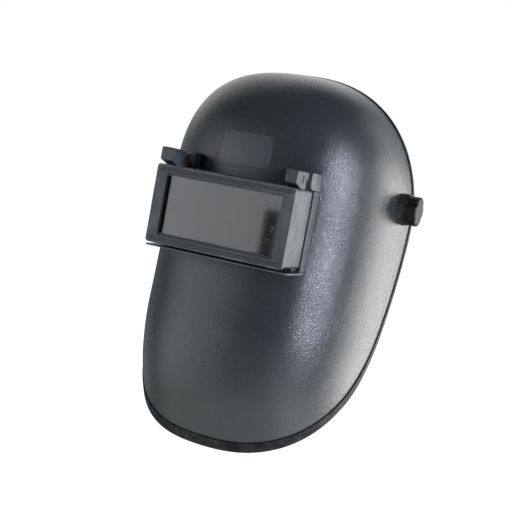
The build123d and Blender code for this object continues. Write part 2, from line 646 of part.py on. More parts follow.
with BuildPart() as headband:
    extrude(headband_plan, amount=BAND_H / 2, both=True)
    # the band ends where the toothed tails begin
    with BuildSketch(band_plane):
        with Locations((0, BACK)):
            Rectangle(2 * TAIL_START, 30)
    extrude(amount=BAND_H, both=True, mode=Mode.SUBTRACT)
    with BuildSketch(Plane.YZ.offset(-BAND_HALF_W - 5)):
        with Locations(*RIVETS, (0, STUD_Z)):
            Circle(STUD_HOLE_R)
    extrude(amount=2 * BAND_HALF_W + 10, mode=Mode.SUBTRACT)
headband.part.label = "headband"
export_step(headband.part, "parts/headband.step")

with BuildPart() as hanger_rivets:
    for side in (1, -1):
        for shank_r, start, length in RIVET_STEPS:
            with BuildSketch(Plane.YZ.offset(side * start)):
                with Locations(*RIVETS):
                    Circle(shank_r)
            extrude(amount=side * length)
hanger_rivets.part.label = "hanger_rivets"
export_step(hanger_rivets.part, "parts/hanger_rivets.step")

# ---------------------------------------------------------------- headgear: crown straps
STRAP_X = BAND_HALF_W + 0.2
STRAP_BASE_Z = 22.0
for name, side, rise in (("left", 1, 0), ("right", -1, 1.7)):
    with BuildPart() as crown_strap:
        with BuildSketch(Plane.XZ):
            with Locations((0, STRAP_BASE_Z)):
                Ellipse(STRAP_X + STRAP_T, STRAP_TOP - STRAP_BASE_Z + STRAP_T + rise)
                Ellipse(STRAP_X, STRAP_TOP - STRAP_BASE_Z + rise, mode=Mode.SUBTRACT)
                Rectangle(300, 200, align=(Align.CENTER, Align.MAX), mode=Mode.SUBTRACT)
            with Locations((-side * 122, 0)):
                Rectangle(200, 200, mode=Mode.SUBTRACT)
            with Locations((side * (STRAP_X + STRAP_T / 2), STRAP_BASE_Z)):
                Rectangle(STRAP_T, STRAP_BASE_Z + 4, align=(Align.CENTER, Align.MAX))
        extrude(amount=STRAP_W / 2, both=True)
        with BuildSketch(Plane.XY.offset(STRAP_TOP - 8)):
            with Locations((-PEG_PITCH, 0), (0, 0), (PEG_PITCH, 0)):
                Circle(STUD_HOLE_R)
        extrude(amount=20, mode=Mode.SUBTRACT)
        with BuildSketch(Plane.YZ.offset(side * (STRAP_X - 1))):
            with Locations((0, STUD_Z)):
                Circle(STUD_HOLE_R)
        extrude(amount=side * 5, mode=Mode.SUBTRACT)
    crown_strap.part.label = f"crown_strap_{name}"
    export_step(crown_strap.part, f"parts/crown_strap_{name}.step")

with BuildPart() as crown_peg:
    for shank_r, rise, length in ((1.95, -1.1, 5.2), (3.8, -1.4, 1.3), (3.4, 3.2, 1.2)):
        with BuildSketch(Plane.XY.offset(STRAP_TOP + rise)):
            Circle(shank_r)
        extrude(amount=length)
crown_peg.part.label = "crown_peg"
export_step(crown_peg.part, "parts/crown_peg.step")

with BuildPart() as strap_studs:
    for side in (1, -1):
        for shank_r, start, length in STUD_STEPS:
            with BuildSketch(Plane.YZ.offset(side * start)):
                with Locations((0, STUD_Z)):
                    Circle(shank_r)
            extrude(amount=side * length)
strap_studs.part.label = "strap_studs"
export_step(strap_studs.part, "parts/strap_studs.step")

# ---------------------------------------------------------------- headgear: soft pads
with BuildPart() as sweatband:
    extrude(sweatband_plan, amount=SWEATBAND_H / 2, both=True)
    with BuildSketch(band_plane):
        with Locations((0, FRONT_CENTRE - 6)):
            Rectangle(200, 200, align=(Align.CENTER, Align.MIN))
    extrude(amount=30, both=True, mode=Mode.SUBTRACT)
sweatband.part.label = "sweatband"
export_step(sweatband.part, "parts/sweatband.step")

with BuildPart() as nape_pad:
    with BuildSketch(nape_plane(-4.8)):
        RectangleRounded(*NAPE_PAD_SIZE, 8)
    extrude(amount=-NAPE_PAD_T)
nape_pad.part.label = "nape_pad"
export_step(nape_pad.part, "parts/nape_pad.step")

# ---------------------------------------------------------------- headgear: ratchet
PITCH_R = TOOTH_MODULE * TEETH / 2
TOOTH_PITCH = pi * TOOTH_MODULE
TOOTH_W = TOOTH_PITCH / 2 - 0.35
TIP_R, ROOT_R = PITCH_R + 1.1, PITCH_R - 1.5
RACK_TIP, RACK_ROOT = PITCH_R - 0.6, PITCH_R + 1.35
CHANNEL_H = RACK_H + 0.6
SHAFT_R = 2.3
SCREW_GRID = (52, 26)


def involute_angle(radius):
    """Polar angle of the involute at a radius, 0 on the base circle."""
    base = PITCH_R * cos(radians(PRESSURE_ANGLE))
    if radius <= base:
        return 0
    pressure = acos(base / radius)
    return tan(pressure) - pressure


def pinion_outline():
    """Corner points of the pinion, tooth by tooth, one tooth straight up."""
    points = []
    half_at_pitch = TOOTH_W / (2 * PITCH_R) + involute_angle(PITCH_R)
    radii = (ROOT_R, PITCH_R - 0.3, PITCH_R, PITCH_R + 0.6, TIP_R)
    for tooth in range(TEETH):
        middle = pi / 2 + 2 * pi * tooth / TEETH
        flank = [(radius, half_at_pitch - involute_angle(radius)) for radius in radii]
        for radius, half in flank:
            points.append((radius * cos(middle - half), radius * sin(middle - half)))
        for radius, half in reversed(flank):
            points.append((radius * cos(middle + half), radius * sin(middle + half)))
    return points


def rack_sketch(turned):
    """One toothed tail seen from behind, its teeth above the slot; turned end for end for the other."""
    flank = tan(radians(PRESSURE_ANGLE))
    with BuildSketch() as plan:
        with Locations((-16, 0)):
            RectangleRounded(60, RACK_H, 3)
        with Locations((-9, (RACK_ROOT - 6.3) / 2)):
            Rectangle(32, RACK_ROOT + 6.3, mode=Mode.SUBTRACT)
        for tooth in range(-6, 2):
            middle = (tooth + 0.5) * TOOTH_PITCH
            wide = TOOTH_W / 2 + (RACK_ROOT - PITCH_R) * flank
            narrow = TOOTH_W / 2 - (PITCH_R - RACK_TIP) * flank
            Polygon(
                (middle - wide, RACK_ROOT + 0.1),
                (middle - narrow, RACK_TIP),
                (middle + narrow, RACK_TIP),
                (middle + wide, RACK_ROOT + 0.1),
                align=None,
            )
    return Rot(0, 0, 180 if turned else 0) * plan.sketch


RACK_DEPTHS = {"left": -1.5, "right": 0.2}
for name, depth in RACK_DEPTHS.items():
    rack_plan = nape_plane(depth).location * rack_sketch(name == "right")
    with BuildPart() as rack:
        extrude(rack_plan, amount=RACK_T)
    rack.part.label = f"rack_{name}"
    export_step(rack.part, f"parts/rack_{name}.step")

with BuildPart() as ratchet_cover:
    with BuildSketch(nape_plane(-3.4)):
        RectangleRounded(HOUSING_W - 2, HOUSING_H - 2, 6)
        Circle(SHAFT_R + 0.1, mode=Mode.SUBTRACT)
        with GridLocations(*SCREW_GRID, 2, 2):
            Circle(1.2, mode=Mode.SUBTRACT)
    extrude(amount=1.6)
ratchet_cover.part.label = "ratchet_cover"
export_step(ratchet_cover.part, "parts/ratchet_cover.step")

with BuildPart() as ratchet_housing:
    with BuildSketch(nape_plane(-1.7)):
        RectangleRounded(HOUSING_W, HOUSING_H, 7)
    extrude(amount=6.6)
    with BuildSketch(nape_plane(4.9)):
        Circle(18.5)
        Circle(15.6, mode=Mode.SUBTRACT)
        with PolarLocations(CLICK_RING_R, CLICKS):
            Circle(0.9, mode=Mode.SUBTRACT)
    extrude(amount=2.5)
    with BuildSketch(nape_plane(-1.8)):
        Rectangle(HOUSING_W + 2, CHANNEL_H)
    extrude(amount=3.7, mode=Mode.SUBTRACT)
    with BuildSketch(nape_plane(-2)):
        Circle(SHAFT_R + 0.1)
    extrude(amount=12, mode=Mode.SUBTRACT)
    with BuildSketch(nape_plane(-2)):
        with GridLocations(*SCREW_GRID, 2, 2):
            Circle(1.15)
    extrude(amount=6.4, mode=Mode.SUBTRACT)
ratchet_housing.part.label = "ratchet_housing"
export_step(ratchet_housing.part, "parts/ratchet_housing.step")

with BuildPart() as housing_screws:
    with BuildSketch(nape_plane(-3.5)):
        with GridLocations(*SCREW_GRID, 2, 2):
            Circle(2.1)
    extrude(amount=-1.2, taper=15)
    with BuildSketch(nape_plane(-3.5)):
        with GridLocations(*SCREW_GRID, 2, 2):
            Circle(1.1)
    extrude(amount=7.6)
housing_screws.part.label = "housing_screws"
export_step(housing_screws.part, "parts/housing_screws.step")

with BuildPart() as ratchet_pinion:
    with BuildSketch(nape_plane(-1.5)):
        Polygon(*pinion_outline(), align=None)
    extrude(amount=3.1)
    with BuildSketch(nape_plane(-3)):
        Circle(SHAFT_R)
    extrude(amount=10.5)
    with BuildSketch(nape_plane(7.5)):
        Circle(SHAFT_R)
        with Locations((0, SHAFT_R - 0.6)):
            Rectangle(6, 3, align=(Align.CENTER, Align.MIN), mode=Mode.SUBTRACT)
    extrude(amount=7)
ratchet_pinion.part.label = "ratchet_pinion"
export_step(ratchet_pinion.part, "parts/ratchet_pinion.step")

with BuildPart() as ratchet_spring:
    with BuildSketch(nape_plane(5.1)):
        Circle(8)
        with PolarLocations(10.4, 3, start_angle=90):
            Rectangle(8, 2)
        with PolarLocations(14.3, 3, start_angle=90):
            Circle(1)
        Circle(SHAFT_R + 0.1, mode=Mode.SUBTRACT)
    extrude(amount=1.8)
ratchet_spring.part.label = "ratchet_spring"
export_step(ratchet_spring.part, "parts/ratchet_spring.step")

with BuildPart() as ratchet_knob:
    with BuildSketch(nape_plane(7.6)):
        Circle(DIAL_R)
        with PolarLocations(DIAL_R + 1.6, DIAL_GROOVES):
            Circle(2.6, mode=Mode.SUBTRACT)
    extrude(amount=DIAL_T)
    fillet(ratchet_knob.faces().sort_by(Axis.Y)[-1].edges(), 1.0)
    with BuildSketch(nape_plane(7.5)):
        Circle(SHAFT_R + 0.05)
        with Locations((0, SHAFT_R - 0.55)):
            Rectangle(6, 3, align=(Align.CENTER, Align.MIN), mode=Mode.SUBTRACT)
    extrude(amount=7.3, mode=Mode.SUBTRACT)
ratchet_knob.part.label = "ratchet_knob"
export_step(ratchet_knob.part, "parts/ratchet_knob.step")
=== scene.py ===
import json
import math

import bpy
from mathutils import Matrix, Vector


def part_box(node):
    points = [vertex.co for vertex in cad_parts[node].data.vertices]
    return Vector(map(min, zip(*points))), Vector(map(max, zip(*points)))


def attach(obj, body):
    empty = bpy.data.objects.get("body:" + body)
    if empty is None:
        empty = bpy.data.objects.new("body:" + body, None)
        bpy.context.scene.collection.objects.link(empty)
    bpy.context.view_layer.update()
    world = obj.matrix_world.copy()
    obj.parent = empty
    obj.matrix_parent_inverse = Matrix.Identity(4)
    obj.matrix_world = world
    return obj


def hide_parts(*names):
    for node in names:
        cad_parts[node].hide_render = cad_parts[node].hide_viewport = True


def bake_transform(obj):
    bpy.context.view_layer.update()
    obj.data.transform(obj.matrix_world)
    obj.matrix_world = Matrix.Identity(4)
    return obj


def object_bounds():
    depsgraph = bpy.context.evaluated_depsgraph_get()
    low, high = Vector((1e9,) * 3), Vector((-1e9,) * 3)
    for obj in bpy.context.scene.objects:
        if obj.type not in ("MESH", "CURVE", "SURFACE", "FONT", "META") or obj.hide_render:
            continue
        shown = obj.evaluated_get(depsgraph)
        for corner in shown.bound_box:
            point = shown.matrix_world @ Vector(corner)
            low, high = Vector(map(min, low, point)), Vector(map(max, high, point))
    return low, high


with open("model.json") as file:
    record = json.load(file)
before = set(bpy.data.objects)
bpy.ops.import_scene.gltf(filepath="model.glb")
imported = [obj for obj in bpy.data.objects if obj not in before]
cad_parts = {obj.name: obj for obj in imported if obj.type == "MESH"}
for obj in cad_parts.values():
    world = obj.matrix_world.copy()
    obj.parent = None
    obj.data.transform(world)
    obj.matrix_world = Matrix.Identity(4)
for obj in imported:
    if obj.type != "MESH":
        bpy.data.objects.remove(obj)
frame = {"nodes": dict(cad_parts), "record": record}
CAD_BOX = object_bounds()
NODES = frame["nodes"]


# ---------------------------------------------------------------- material helpers
class Graph:
    """Small helper for building a node material."""

    def __init__(self, name):
        self.material = bpy.data.materials.new(name)
        self.material.use_nodes = True
        self.tree = self.material.node_tree
        self.shader = self.tree.nodes["Principled BSDF"]
        coords = self.tree.nodes.new("ShaderNodeTexCoord")
        self.place = coords.outputs["Object"]

    def node(self, kind, inputs=None, **settings):
        made = self.tree.nodes.new(kind)
        for key, value in settings.items():
            setattr(made, key, value)
        for key, value in (inputs or {}).items():
            if isinstance(value, bpy.types.NodeSocket):
                self.tree.links.new(value, made.inputs[key])
            else:
                made.inputs[key].default_value = value
        return made

    def noise(self, scale, detail=3.0, rough=0.55, at=None):
        made = self.node("ShaderNodeTexNoise", {
            "Vector": at or self.place, "Scale": scale, "Detail": detail, "Roughness": rough,
        })
        return made.outputs["Fac"]

    def ramp(self, value, low, high, to_low=0.0, to_high=1.0):
        made = self.node("ShaderNodeMapRange", {
            "Value": value, "From Min": low, "From Max": high, "To Min": to_low, "To Max": to_high,
        })
        return made.outputs["Result"]

    def math(self, operation, a, b=0.0):
        made = self.node("ShaderNodeMath", {0: a, 1: b}, operation=operation)
        return made.outputs["Value"]

    def mix(self, factor, a, b):
        made = self.tree.nodes.new("ShaderNodeMix")
        made.data_type = "RGBA"
        for index, value in ((0, factor), (6, a), (7, b)):
            if isinstance(value, bpy.types.NodeSocket):
                self.tree.links.new(value, made.inputs[index])
            elif index:
                made.inputs[index].default_value = (*value, 1.0)
            else:
                made.inputs[index].default_value = value
        return made.outputs[2]

    def bump(self, height, distance, strength=1.0, onto=None):
        inputs = {"Height": height, "Distance": distance, "Strength": strength}
        if onto is not None:
            inputs["Normal"] = onto
        return self.node("ShaderNodeBump", inputs).outputs["Normal"]

    def edges(self, radius=0.0004):
        """Normal that rounds sharp edges over a small radius."""
        return self.node("ShaderNodeBevel", {"Radius": radius}, samples=4).outputs["Normal"]

    def axes(self, vector):
        return self.node("ShaderNodeSeparateXYZ", {"Vector": vector}).outputs

    def within(self, value, centre, half, soft):
        """Mask that is 1 where value is less than half away from centre."""
        away = self.math("ABSOLUTE", self.math("SUBTRACT", value, centre))
        return self.ramp(away, half + soft, half - soft)

    def set(self, **values):
        for key, value in values.items():
            socket = self.shader.inputs[key.replace("_", " ")]
            if isinstance(value, bpy.types.NodeSocket):
                self.tree.links.new(value, socket)
            elif isinstance(value, tuple) and len(value) == 3:
                socket.default_value = (*value, 1.0)
            else:
                socket.default_value = value
        return self.material


def wear(g, scale=60.0):
    """Mask of rubbed edges, broken up by noise."""
    edge = g.ramp(g.node("ShaderNodeNewGeometry").outputs["Pointiness"], 0.52, 0.60)
    return g.math("MULTIPLY", edge, g.ramp(g.noise(scale, 5.0), 0.42, 0.62))


PATCH_SOFT = 0.0006


def grained_plastic(name, base, grain=1.1, depth=0.00009, rough=(0.36, 0.5), tint=0.18, worn=0.35,
                    smooth_patch=None, painted_shadow_slot=None, shine=0.5):
    """Moulded plastic with a leather grain whose cells are grain millimetres wide.

    smooth_patch is (x, z, half width, half height) of a smoother, paler area on the front.
    painted_shadow_slot is the half width of an opening whose inner sides get painted shadow: they are
    coloured near black to stand for the deep shade in them.
    """
    g = Graph(name)
    warp = g.node("ShaderNodeTexNoise", {"Vector": g.place, "Scale": 420.0 / grain, "Detail": 2.0})
    warped = g.node("ShaderNodeMixRGB", {
        "Fac": 0.0006 * grain, "Color1": g.place, "Color2": warp.outputs["Color"],
    }, blend_type="ADD").outputs["Color"]
    cells = g.node("ShaderNodeTexVoronoi", {
        "Vector": warped, "Scale": 1000.0 / grain,
    }, feature="DISTANCE_TO_EDGE")
    leather = g.ramp(cells.outputs["Distance"], 0.0, 0.28)
    fine = g.noise(2600.0 / grain, 3.0)
    broad = g.noise(9.0, 4.0)
    streaks = g.noise(45.0, 6.0, 0.65)
    dark = tuple(c * (1 - tint) for c in base)
    light = tuple(c * (1 + tint) for c in base)
    colour = g.mix(g.ramp(broad, 0.3, 0.7), dark, light)
    colour = g.mix(g.ramp(leather, 0.0, 0.7, 0.35, 0.0), colour, tuple(c * 0.55 for c in base))
    colour = g.mix(g.math("MULTIPLY", wear(g), worn), colour, tuple(min(1.0, c * 2.6 + 0.05) for c in base))
    roughness = g.math(
        "ADD", g.ramp(streaks, 0.3, 0.7, rough[0], rough[1]), g.ramp(leather, 0.0, 0.5, 0.10, 0.0)
    )
    height = g.math("ADD", leather, g.math("MULTIPLY", fine, 0.35))
    at = g.axes(g.place)
    if smooth_patch:
        x, z, half_wide, half_high = smooth_patch
        across = g.within(at["X"], x, half_wide, PATCH_SOFT)
        patch = g.math("MULTIPLY", across, g.within(at["Z"], z, half_high, PATCH_SOFT))
        patch = g.math("MULTIPLY", patch, g.math("LESS_THAN", at["Y"], 0.0))
        colour = g.mix(patch, colour, tuple(c * 1.8 for c in base))
        height = g.math("MULTIPLY", height, g.ramp(patch, 0.0, 1.0, 1.0, 0.35))
        roughness = g.math("ADD", roughness, g.math("MULTIPLY", patch, 0.06))
    # painted shadow: faces inside the opening that face sideways are coloured near black to stand for their
    # shade
    if painted_shadow_slot:
        facing = g.axes(g.node("ShaderNodeTexCoord").outputs["Normal"])
        painted_shadow_wall = g.math("GREATER_THAN", g.math("ABSOLUTE", facing["X"]), 0.8)
        painted_shadow_wall = g.math("MULTIPLY", painted_shadow_wall, g.math("LESS_THAN", g.math("ABSOLUTE", at["X"]), painted_shadow_slot))
        colour = g.mix(painted_shadow_wall, colour, (0.001, 0.001, 0.001))
        roughness = g.math("ADD", roughness, g.math("MULTIPLY", painted_shadow_wall, 0.6))
    return g.set(Base_Color=colour, Roughness=roughness, IOR=1.5, Specular_IOR_Level=shine,
                 Normal=g.bump(height, depth, onto=g.edges()))


def satin_plastic(name, base, rough=(0.28, 0.42), tint=0.15, worn=0.5, ripple=0.00004, shine=0.5):
    """Smoother moulded or vinyl surface with faint orange peel and rubbed edges."""
    g = Graph(name)
    broad, peel, dust = g.noise(22.0, 4.0), g.noise(420.0, 3.0), g.noise(1500.0, 2.0)
    dark = tuple(c * (1 - tint) for c in base)
    light = tuple(c * (1 + tint) for c in base)
    rubbed = tuple(min(1.0, c * 3.0 + 0.04) for c in base)
    colour = g.mix(g.ramp(broad, 0.3, 0.7), dark, light)
    colour = g.mix(g.math("MULTIPLY", wear(g, 120.0), worn), colour, rubbed)
    roughness = g.ramp(broad, 0.3, 0.7, rough[0], rough[1])
    roughness = g.math("ADD", roughness, g.ramp(dust, 0.45, 0.75, 0.0, 0.12))
    height = g.math("ADD", peel, g.math("MULTIPLY", dust, 0.3))
    return g.set(Base_Color=colour, Roughness=roughness, Normal=g.bump(height, ripple, onto=g.edges()),
                 Specular_IOR_Level=shine)


def metal(name, base, rough=(0.2, 0.38)):
    """Plated or machined metal with fine drawn lines and a few stains."""
    g = Graph(name)
    drawn = (40.0, 900.0, 900.0)
    stretched = g.node("ShaderNodeMapping", {"Vector": g.place, "Scale": drawn}).outputs["Vector"]
    lines = g.noise(1.0, 4.0, 0.6, at=stretched)
    stains = g.noise(60.0, 5.0)
    colour = g.mix(g.ramp(stains, 0.45, 0.75), base, tuple(c * 0.62 for c in base))
    roughness = g.ramp(lines, 0.3, 0.7, rough[0], rough[1])
    roughness = g.math("ADD", roughness, g.ramp(stains, 0.5, 0.8, 0.0, 0.15))
    return g.set(Base_Color=colour, Roughness=roughness, Normal=g.bump(lines, 0.00003), Metallic=1.0)


def clear_sheet(name, base, smears=0.025):
    """Clear polycarbonate with faint smears and spatter dots."""
    g = Graph(name)
    smear = g.ramp(g.noise(28.0, 5.0, 0.6), 0.45, 0.8)
    dots = g.node("ShaderNodeTexVoronoi", {"Vector": g.place, "Scale": 160.0}).outputs["Distance"]
    spatter = g.math("MULTIPLY", g.ramp(dots, 0.10, 0.04), g.ramp(g.noise(30.0, 2.0), 0.5, 0.6))
    roughness = g.ramp(smear, 0.0, 1.0, 0.015, 0.015 + smears)
    roughness = g.math("ADD", roughness, g.math("MULTIPLY", spatter, 0.3))
    colour = g.mix(spatter, base, tuple(c * 0.3 for c in base))
    return g.set(Base_Color=colour, Roughness=roughness, Transmission_Weight=1.0, IOR=1.5,
                 Normal=g.bump(g.math("ADD", g.noise(14.0, 2.0), spatter), 0.00002))


def dark_glass(name, base):
    """Welding filter glass: nearly opaque, polished, with a faint stain and pulled lines."""
    g = Graph(name)
    lines = g.node("ShaderNodeMapping", {"Vector": g.place, "Scale": (14.0, 14.0, 240.0)}).outputs["Vector"]
    pulled = g.noise(1.0, 2.0, at=lines)
    stain = g.noise(18.0, 5.0, 0.6)
    colour = g.mix(g.ramp(stain, 0.35, 0.7), base, tuple(c * 1.25 for c in base))
    return g.set(Base_Color=colour, Roughness=g.ramp(stain, 0.3, 0.8, 0.03, 0.06), IOR=1.5,
                 Normal=g.bump(pulled, 0.00001))


def towelling(name, base, scale=1.0):
    """Terry cloth: small loops over a soft knit ground."""
    g = Graph(name)
    loops = g.node("ShaderNodeTexVoronoi", {"Vector": g.place, "Scale": 950.0 * scale, "Randomness": 0.7})
    tuft = g.ramp(loops.outputs["Distance"], 0.0, 0.6, 1.0, 0.0)
    fuzz = g.noise(3000.0, 3.0, 0.7)
    worn = g.noise(35.0, 5.0)
    colour = g.mix(g.ramp(tuft, 0.0, 1.0), tuple(c * 0.45 for c in base), tuple(c * 1.3 for c in base))
    colour = g.mix(g.ramp(worn, 0.45, 0.75, 0.0, 0.5), colour, tuple(c * 1.8 + 0.01 for c in base))
    height = g.math("ADD", tuft, g.math("MULTIPLY", fuzz, 0.6))
    return g.set(Base_Color=colour, Roughness=g.ramp(fuzz, 0.3, 0.7, 0.85, 1.0), Sheen_Weight=0.35,
                 Sheen_Roughness=0.5, Normal=g.bump(height, 0.0004))


def fibre(name, base):
    """Pressed fibre friction washer."""
    g = Graph(name)
    flecks = g.noise(900.0, 4.0, 0.7)
    colour = g.mix(g.ramp(flecks, 0.35, 0.65), tuple(c * 0.5 for c in base), tuple(c * 1.5 for c in base))
    return g.set(Base_Color=colour, Roughness=g.ramp(flecks, 0.3, 0.7, 0.75, 0.95),
                 Normal=g.bump(flecks, 0.00012))


# ---------------------------------------------------------------- materials
MATERIALS = {
    "shell": grained_plastic("shell_leather_grain", (0.027, 0.034, 0.0355), grain=1.25, depth=0.00006,
                             rough=(0.17, 0.25), smooth_patch=(-0.003, 0.024, 0.0215, 0.013)),
    "trim": satin_plastic("black_edge_trim", (0.005, 0.0054, 0.0056), rough=(0.4, 0.5), shine=0.15),
    "window_plastic": grained_plastic("window_moulding", (0.055, 0.062, 0.067), grain=0.6, depth=0.00002,
                                      rough=(0.30, 0.40), painted_shadow_slot=0.0500, shine=0.28),
    "lever": grained_plastic("lever_moulding", (0.032, 0.038, 0.040), grain=0.6, depth=0.00002,
                             rough=(0.28, 0.38), shine=0.3),
    "clear": clear_sheet("clear_cover", (0.93, 0.94, 0.93)),
    "filter": dark_glass("filter_glass", (0.012, 0.012, 0.011)),
    "gasket": satin_plastic("seal_rubber", (0.02, 0.02, 0.02), rough=(0.6, 0.8)),
    "spring_steel": metal("spring_strip", (0.62, 0.63, 0.65)),
    "pin_steel": metal("black_oxide_steel", (0.06, 0.06, 0.065), rough=(0.35, 0.5)),
    "bolt": satin_plastic("nylon_bolt", (0.03, 0.03, 0.032)),
    "brass": metal("brass_insert", (0.72, 0.55, 0.25)),
    "knob": satin_plastic("knob_plastic", (0.010, 0.0105, 0.0115), rough=(0.3, 0.42), shine=0.2),
    "friction": fibre("fibre_washer", (0.035, 0.033, 0.031)),
    "washer_plastic": satin_plastic("nylon_washer", (0.05, 0.05, 0.05)),
    "band": satin_plastic("band_polyethylene", (0.03, 0.031, 0.034), rough=(0.35, 0.5), ripple=0.00008),
    "band_dark": satin_plastic("harness_nylon", (0.022, 0.023, 0.025), rough=(0.35, 0.48)),
    "pinion": satin_plastic("acetal", (0.62, 0.6, 0.55)),
    "sweatband": towelling("towelling", (0.03, 0.03, 0.034)),
    "pad": towelling("knit_cloth", (0.03, 0.031, 0.036), scale=1.6),
}

for part in frame["record"]["subparts"]:
    node = NODES[part["node"]]
    node.data.materials.clear()
    node.data.materials.append(MATERIALS[part["material_slot"]])
    node.data.polygons.foreach_set("material_index", [0] * len(node.data.polygons))

# ---------------------------------------------------------------- the band's own tilted frame
TILT = math.radians(15.0)
BAND_ORIGIN = Vector((0.0, 0.0, 0.007))
BACKWARDS = Vector((0.0, math.cos(TILT), -math.sin(TILT)))
UPWARDS = Vector((0.0, math.sin(TILT), math.cos(TILT)))
HALF_W, FRONT_V, FRONT_R, SIDE_END, REAR_R, FLAT_U = 0.079, -0.025, 0.055, 0.050, 0.070, 0.058


def on_band(across, behind, rise=0.0):
    """Point given along the band's plane and above it."""
    return BAND_ORIGIN + Vector((across, 0.0, 0.0)) + BACKWARDS * behind + UPWARDS * rise


def band_point(turn, inset):
    """Point of the left half of the loop and its outward direction, in the band's plane.

    turn runs 0..1 over the front quarter, 1..2 over the straight side, 2..3 over the rear corner and
    3..4 to the middle.
    """
    if turn <= 1:
        a = math.radians(90 * turn)
        u, v = (HALF_W - inset) * math.sin(a), FRONT_V - (FRONT_R - inset) * math.cos(a)
        normal = Vector((math.sin(a) / HALF_W, -math.cos(a) / FRONT_R)).normalized()
    elif turn <= 2:
        u, v, normal = HALF_W - inset, FRONT_V + (SIDE_END - FRONT_V) * (turn - 1), Vector((1.0, 0.0))
    elif turn <= 3:
        a = math.radians(90 * (turn - 2))
        corner = HALF_W - FLAT_U
        u, v = FLAT_U + (corner - inset) * math.cos(a), SIDE_END + (REAR_R - inset) * math.sin(a)
        normal = Vector((math.cos(a) / corner, math.sin(a) / REAR_R)).normalized()
    else:
        u, v, normal = FLAT_U * (4 - turn), SIDE_END + REAR_R - inset, Vector((0.0, 1.0))
    return Vector((u, v)), normal


def even_stations(start, end, count, inset):
    """Stations at even distances along the left half of the loop."""
    fine = [band_point(start + (end - start) * i / 800, inset) for i in range(801)]
    run = [0.0]
    for (a, _), (b, _) in zip(fine, fine[1:]):
        run.append(run[-1] + (b - a).length)
    stations, at = [], 0
    for i in range(count):
        target = run[-1] * i / (count - 1)
        while at < 799 and run[at + 1] < target:
            at += 1
        stations.append((*fine[at], run[at]))
    return stations, run[-1]


def mesh_object(name, points, faces, slot, smooth=True):
    mesh = bpy.data.meshes.new(name)
    mesh.from_pydata([tuple(p) for p in points], [], faces)
    mesh.polygons.foreach_set("use_smooth", [smooth] * len(mesh.polygons))
    made = bpy.data.objects.new(name, mesh)
    bpy.context.scene.collection.objects.link(made)
    made.data.materials.append(MATERIALS[slot])
    return made


def tube(name, rings, slot, closed=False):
    """Closed surface through equal rings of points."""
    size = len(rings[0])
    points = [p for ring in rings for p in ring]
    faces = []
    count = len(rings)
    for i in range(count if closed else count - 1):
        for j in range(size):
            k, l = (i + 1) % count, (j + 1) % size
            faces.append((i * size + j, i * size + l, k * size + l, k * size + j))
    if not closed:
        faces.append(tuple(range(size)))
        faces.append(tuple(reversed(range((count - 1) * size, count * size))))
    return mesh_object(name, points, faces, slot)


# ---------------------------------------------------------------- soft cushions
CLOTH_FRAMES, CLOTH_REACH, CUSHION_PRESSURE = 14, 0.0015, 60.0
CUSHION_RING, SEAM_HOLD, PIPING_R = 40, 0.0007, 0.00085
BROW_HALF_H, BROW_T, NAPE_HALF_H, NAPE_T, NAPE_LENGTH = 0.0140, 0.0060, 0.0130, 0.0078, 0.064
STITCH_PITCH = 0.0026


def crease(distance, width):
    return math.exp(-(distance / width) ** 2)


def settle(made, sewn, pressure):
    """Puffs a cushion's cover as cloth and keeps the result; sewn vertices stay where they are."""
    start = [v.co.copy() for v in made.data.vertices]
    group = made.vertex_groups.new(name="sewn")
    group.add(sewn, 1.0, "REPLACE")
    cloth = made.modifiers.new("cloth", "CLOTH")
    fabric = cloth.settings
    fabric.quality, fabric.mass, fabric.air_damping = 8, 0.02, 5.0
    fabric.tension_stiffness = fabric.compression_stiffness = 5.0
    fabric.shear_stiffness, fabric.bending_stiffness = 2.0, 0.02
    fabric.use_pressure, fabric.uniform_pressure_force = True, pressure
    fabric.vertex_group_mass, fabric.pin_stiffness = "sewn", 1.0
    fabric.shrink_min = -0.06
    fabric.effector_weights.gravity = 0.0
    cloth.collision_settings.use_collision = False
    cloth.point_cache.frame_start, cloth.point_cache.frame_end = 1, CLOTH_FRAMES
    for frame_number in range(1, CLOTH_FRAMES + 1):
        bpy.context.scene.frame_set(frame_number)
    puffed = made.evaluated_get(bpy.context.evaluated_depsgraph_get())
    moved = [v.co - before for v, before in zip(puffed.data.vertices, start)]
    made.modifiers.remove(cloth)
    made.vertex_groups.remove(group)
    for vertex, before, step in zip(made.data.vertices, start, moved):
        vertex.co = before + step * min(1.0, CLOTH_REACH / max(step.length, 1e-9))
    bpy.context.scene.frame_set(1)


